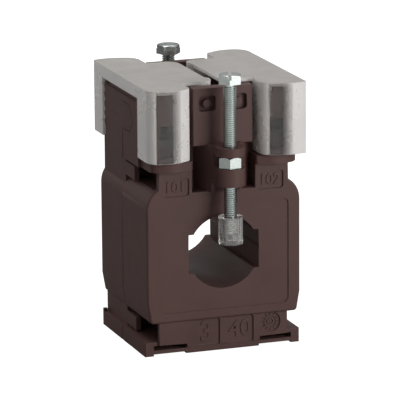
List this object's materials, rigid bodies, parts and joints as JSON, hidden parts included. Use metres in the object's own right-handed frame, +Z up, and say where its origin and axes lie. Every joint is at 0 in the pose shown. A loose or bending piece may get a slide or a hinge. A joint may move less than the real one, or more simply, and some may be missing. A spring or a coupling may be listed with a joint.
{
  "type": "current transformer",
  "caption": "Window-type current transformer with a brown moulded housing, clear terminal covers and screw clamps for the primary bar at the front and the rear.",
  "frame": {"origin": "middle of the base, on the surface that the transformer stands on", "axes": "+Z up through the terminal covers, +Y from the front to the rear along the primary window's axis, +X to the right as seen from the front"},
  "size_m": [0.0608, 0.0786, 0.1063],
  "materials": {
    "housing": "fine spark-eroded, satin",
    "cover": "frosted clear",
    "steel": "zinc plated",
    "tip": "clear",
    "core": "wound strip",
    "copper": "enamelled",
    "insulation": "matt",
    "tape": "satin",
    "lead": "satin",
    "bar": "machined"
  },
  "bodies": {
    "housing": {"front_shell": "housing", "rear_shell": "housing", "core_ring": "core", "core_insulation": "insulation", "secondary_winding": "copper", "winding_tape": "tape", "secondary_lead_left": "lead", "secondary_lead_right": "lead", "terminal_bar_left": "bar", "terminal_bar_right": "bar", "clamp_nut_front": "steel", "clamp_nut_rear": "steel"},
    "left_cover": {"cover_left": "cover"},
    "right_cover": {"cover_right": "cover"},
    "front_clamp_tip": {"clamp_tip_front": "tip"},
    "front_clamp_screw": {"clamp_screw_front": "steel"},
    "rear_clamp_tip": {"clamp_tip_rear": "tip"},
    "rear_clamp_screw": {"clamp_screw_rear": "steel"},
    "front_left_wire_clamp": {"wire_clamp_front_left": "steel"},
    "front_left_terminal_screw": {"terminal_screw_front_left": "steel"},
    "rear_left_wire_clamp": {"wire_clamp_rear_left": "steel"},
    "rear_left_terminal_screw": {"terminal_screw_rear_left": "steel"},
    "front_right_wire_clamp": {"wire_clamp_front_right": "steel"},
    "front_right_terminal_screw": {"terminal_screw_front_right": "steel"},
    "rear_right_wire_clamp": {"wire_clamp_rear_right": "steel"},
    "rear_right_terminal_screw": {"terminal_screw_rear_right": "steel"}
  },
  "joints": [
    {"name": "front_clamp_travel", "type": "slide", "parent": "housing", "child": "front_clamp_tip", "axis": [0, 0, 1], "range_m": [-0.0234, 0.0118]},
    {"name": "front_clamp_turn", "type": "hinge", "parent": "front_clamp_tip", "child": "front_clamp_screw", "pos_m": [0, -0.034, 0.09], "axis": [0, 0, 1], "range_deg": [-10635.3, 5363.1]},
    {"name": "rear_clamp_travel", "type": "slide", "parent": "housing", "child": "rear_clamp_tip", "axis": [0, 0, 1], "range_m": [-0.022, 0.0132]},
    {"name": "rear_clamp_turn", "type": "hinge", "parent": "rear_clamp_tip", "child": "rear_clamp_screw", "pos_m": [0, 0.034, 0.09], "axis": [0, 0, 1], "range_deg": [-9999, 5999.4]},
    {"name": "front_left_terminal_lift", "type": "slide", "parent": "housing", "child": "front_left_wire_clamp", "axis": [0, 0, 1], "range_m": [0, 0.0045]},
    {"name": "front_left_terminal_turn", "type": "hinge", "parent": "front_left_wire_clamp", "child": "front_left_terminal_screw", "pos_m": [-0.0216, -0.0145, 0.082], "axis": [0, 0, 1], "range_deg": [0, 2045]},
    {"name": "rear_left_terminal_lift", "type": "slide", "parent": "housing", "child": "rear_left_wire_clamp", "axis": [0, 0, 1], "range_m": [0, 0.0045]},
    {"name": "rear_left_terminal_turn", "type": "hinge", "parent": "rear_left_wire_clamp", "child": "rear_left_terminal_screw", "pos_m": [-0.0216, 0.0145, 0.082], "axis": [0, 0, 1], "range_deg": [0, 2045]},
    {"name": "front_right_terminal_lift", "type": "slide", "parent": "housing", "child": "front_right_wire_clamp", "axis": [0, 0, 1], "range_m": [0, 0.0045]},
    {"name": "front_right_terminal_turn", "type": "hinge", "parent": "front_right_wire_clamp", "child": "front_right_terminal_screw", "pos_m": [0.0216, -0.0145, 0.082], "axis": [0, 0, 1], "range_deg": [0, 2045]},
    {"name": "rear_right_terminal_lift", "type": "slide", "parent": "housing", "child": "rear_right_wire_clamp", "axis": [0, 0, 1], "range_m": [0, 0.0045]},
    {"name": "rear_right_terminal_turn", "type": "hinge", "parent": "rear_right_wire_clamp", "child": "rear_right_terminal_screw", "pos_m": [0.0216, 0.0145, 0.082], "axis": [0, 0, 1], "range_deg": [0, 2045]},
    {"name": "left_cover_lift", "type": "slide", "parent": "housing", "child": "left_cover", "axis": [0, 0, 1], "range_m": [0, 0.03]},
    {"name": "right_cover_lift", "type": "slide", "parent": "housing", "child": "right_cover", "axis": [0, 0, 1], "range_m": [0, 0.03]}
  ],
  "couplings": [
    {"joint": "front_clamp_turn", "follows": "front_clamp_travel", "rad_per_m": 7854},
    {"joint": "rear_clamp_turn", "follows": "rear_clamp_travel", "rad_per_m": 7854},
    {"joint": "front_left_terminal_turn", "follows": "front_left_terminal_lift", "rad_per_m": 7854},
    {"joint": "rear_left_terminal_turn", "follows": "rear_left_terminal_lift", "rad_per_m": 7854},
    {"joint": "front_right_terminal_turn", "follows": "front_right_terminal_lift", "rad_per_m": 7854},
    {"joint": "rear_right_terminal_turn", "follows": "rear_right_terminal_lift", "rad_per_m": 7854}
  ]
}
